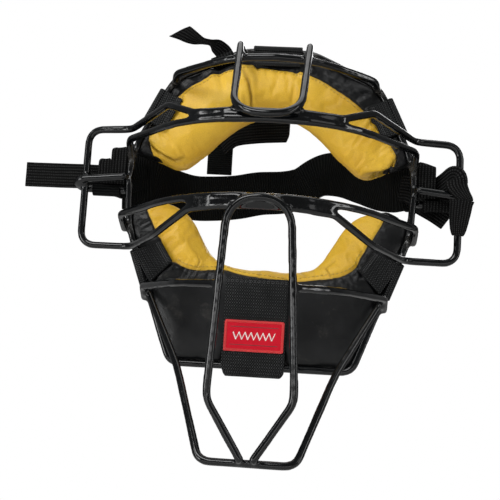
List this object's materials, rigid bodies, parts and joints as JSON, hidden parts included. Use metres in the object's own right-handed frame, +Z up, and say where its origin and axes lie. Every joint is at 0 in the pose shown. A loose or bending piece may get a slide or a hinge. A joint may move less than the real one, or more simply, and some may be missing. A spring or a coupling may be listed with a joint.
{
  "type": "umpire mask",
  "caption": "Wire-cage umpire mask with ear guards and throat guard, leather-faced pads tabbed to the rim, a labelled chin strap and an elastic head harness.",
  "frame": {"origin": "centre of the face opening, in the plane of the rim wire", "axes": "+Z up, +X to the right as seen from the front, and the mask faces -Y, so the wearer's head is at +Y"},
  "size_m": [0.312, 0.196, 0.2954],
  "materials": {
    "coated_wire": "gloss",
    "foam": "matte",
    "leather": "satin",
    "vinyl": "satin",
    "webbing": "matte",
    "label_red": "satin",
    "label_border_red": "satin"
  },
  "bodies": {
    "cage": {"rim_wire": "coated_wire", "crown_bar": "coated_wire", "crown_guard": "coated_wire", "brow_bar": "coated_wire", "eye_bar": "coated_wire", "ear_guard_wire": "coated_wire", "strap_loop_left": "coated_wire", "strap_loop_right": "coated_wire", "nose_guard": "coated_wire", "throat_guard": "coated_wire", "chin_bar_left": "coated_wire", "chin_bar_right": "coated_wire", "upper_pad_foam": "foam", "upper_pad_face": "leather", "upper_pad_backing": "vinyl", "lower_pad_foam": "foam", "lower_pad_face": "leather", "lower_pad_backing": "vinyl", "top_tab": "webbing", "upper_left_tab": "webbing", "upper_right_tab": "webbing", "lower_left_tab": "webbing", "lower_right_tab": "webbing", "chin_strap": "webbing", "label_patch": "label_red", "label_border": "label_border_red", "left_strap_fold": "webbing", "right_strap_fold": "webbing", "crown_strap_loop": "webbing"},
    "harness": {"back_band": "webbing", "crown_strap": "webbing", "crown_strap_fold": "webbing", "left_side_strap": "webbing", "right_side_strap": "webbing"},
    "top_flap": {"top_tab_flap": "webbing"},
    "upper_left_flap": {"upper_left_flap": "webbing"},
    "upper_right_flap": {"upper_right_flap": "webbing"},
    "lower_left_flap": {"lower_left_flap": "webbing"},
    "lower_right_flap": {"lower_right_flap": "webbing"},
    "chin_strap_end": {"chin_strap_end": "webbing"},
    "left_tail": {"left_strap_tail": "webbing"},
    "right_tail": {"right_strap_tail": "webbing"},
    "crown_tail": {"crown_strap_tail": "webbing"}
  },
  "joints": [
    {"name": "harness_swing", "type": "hinge", "parent": "cage", "child": "harness", "pos_m": [0, 0.0052, 0.008], "axis": [-1, 0, 0], "range_deg": [0, 40]},
    {"name": "top_tab_peel", "type": "hinge", "parent": "cage", "child": "top_flap", "pos_m": [0, -0.00455, 0.11], "axis": [-1, 0, 0], "range_deg": [0, 75]},
    {"name": "upper_left_peel", "type": "hinge", "parent": "cage", "child": "upper_left_flap", "pos_m": [-0.08129, -0.00455, 0.067], "axis": [-0.4317, 0, -0.902], "range_deg": [0, 75]},
    {"name": "upper_right_peel", "type": "hinge", "parent": "cage", "child": "upper_right_flap", "pos_m": [0.08129, -0.00455, 0.067], "axis": [-0.4317, 0, 0.902], "range_deg": [0, 75]},
    {"name": "lower_left_peel", "type": "hinge", "parent": "cage", "child": "lower_left_flap", "pos_m": [-0.08471, -0.00455, -0.046], "axis": [0.3522, 0, -0.9359], "range_deg": [0, 50]},
    {"name": "lower_right_peel", "type": "hinge", "parent": "cage", "child": "lower_right_flap", "pos_m": [0.08471, -0.00455, -0.046], "axis": [0.3522, 0, 0.9359], "range_deg": [0, 50]},
    {"name": "chin_strap_peel", "type": "hinge", "parent": "cage", "child": "chin_strap_end", "pos_m": [-0.0045, 0.00455, -0.109], "axis": [-1, 0, 0], "range_deg": [0, 80]},
    {"name": "left_tail_swing", "type": "hinge", "parent": "cage", "child": "left_tail", "pos_m": [-0.1314, 0.0106, 0.0177], "axis": [0, 0, -1], "range_deg": [0, 70]},
    {"name": "right_tail_swing", "type": "hinge", "parent": "cage", "child": "right_tail", "pos_m": [0.13, -0.015, 0.0142], "axis": [-1, 0, 0], "range_deg": [0, 60]},
    {"name": "crown_tail_swing", "type": "hinge", "parent": "cage", "child": "crown_tail", "pos_m": [-0.041, -0.0015, 0.10845], "axis": [0, 1, 0], "range_deg": [0, 60]}
  ]
}
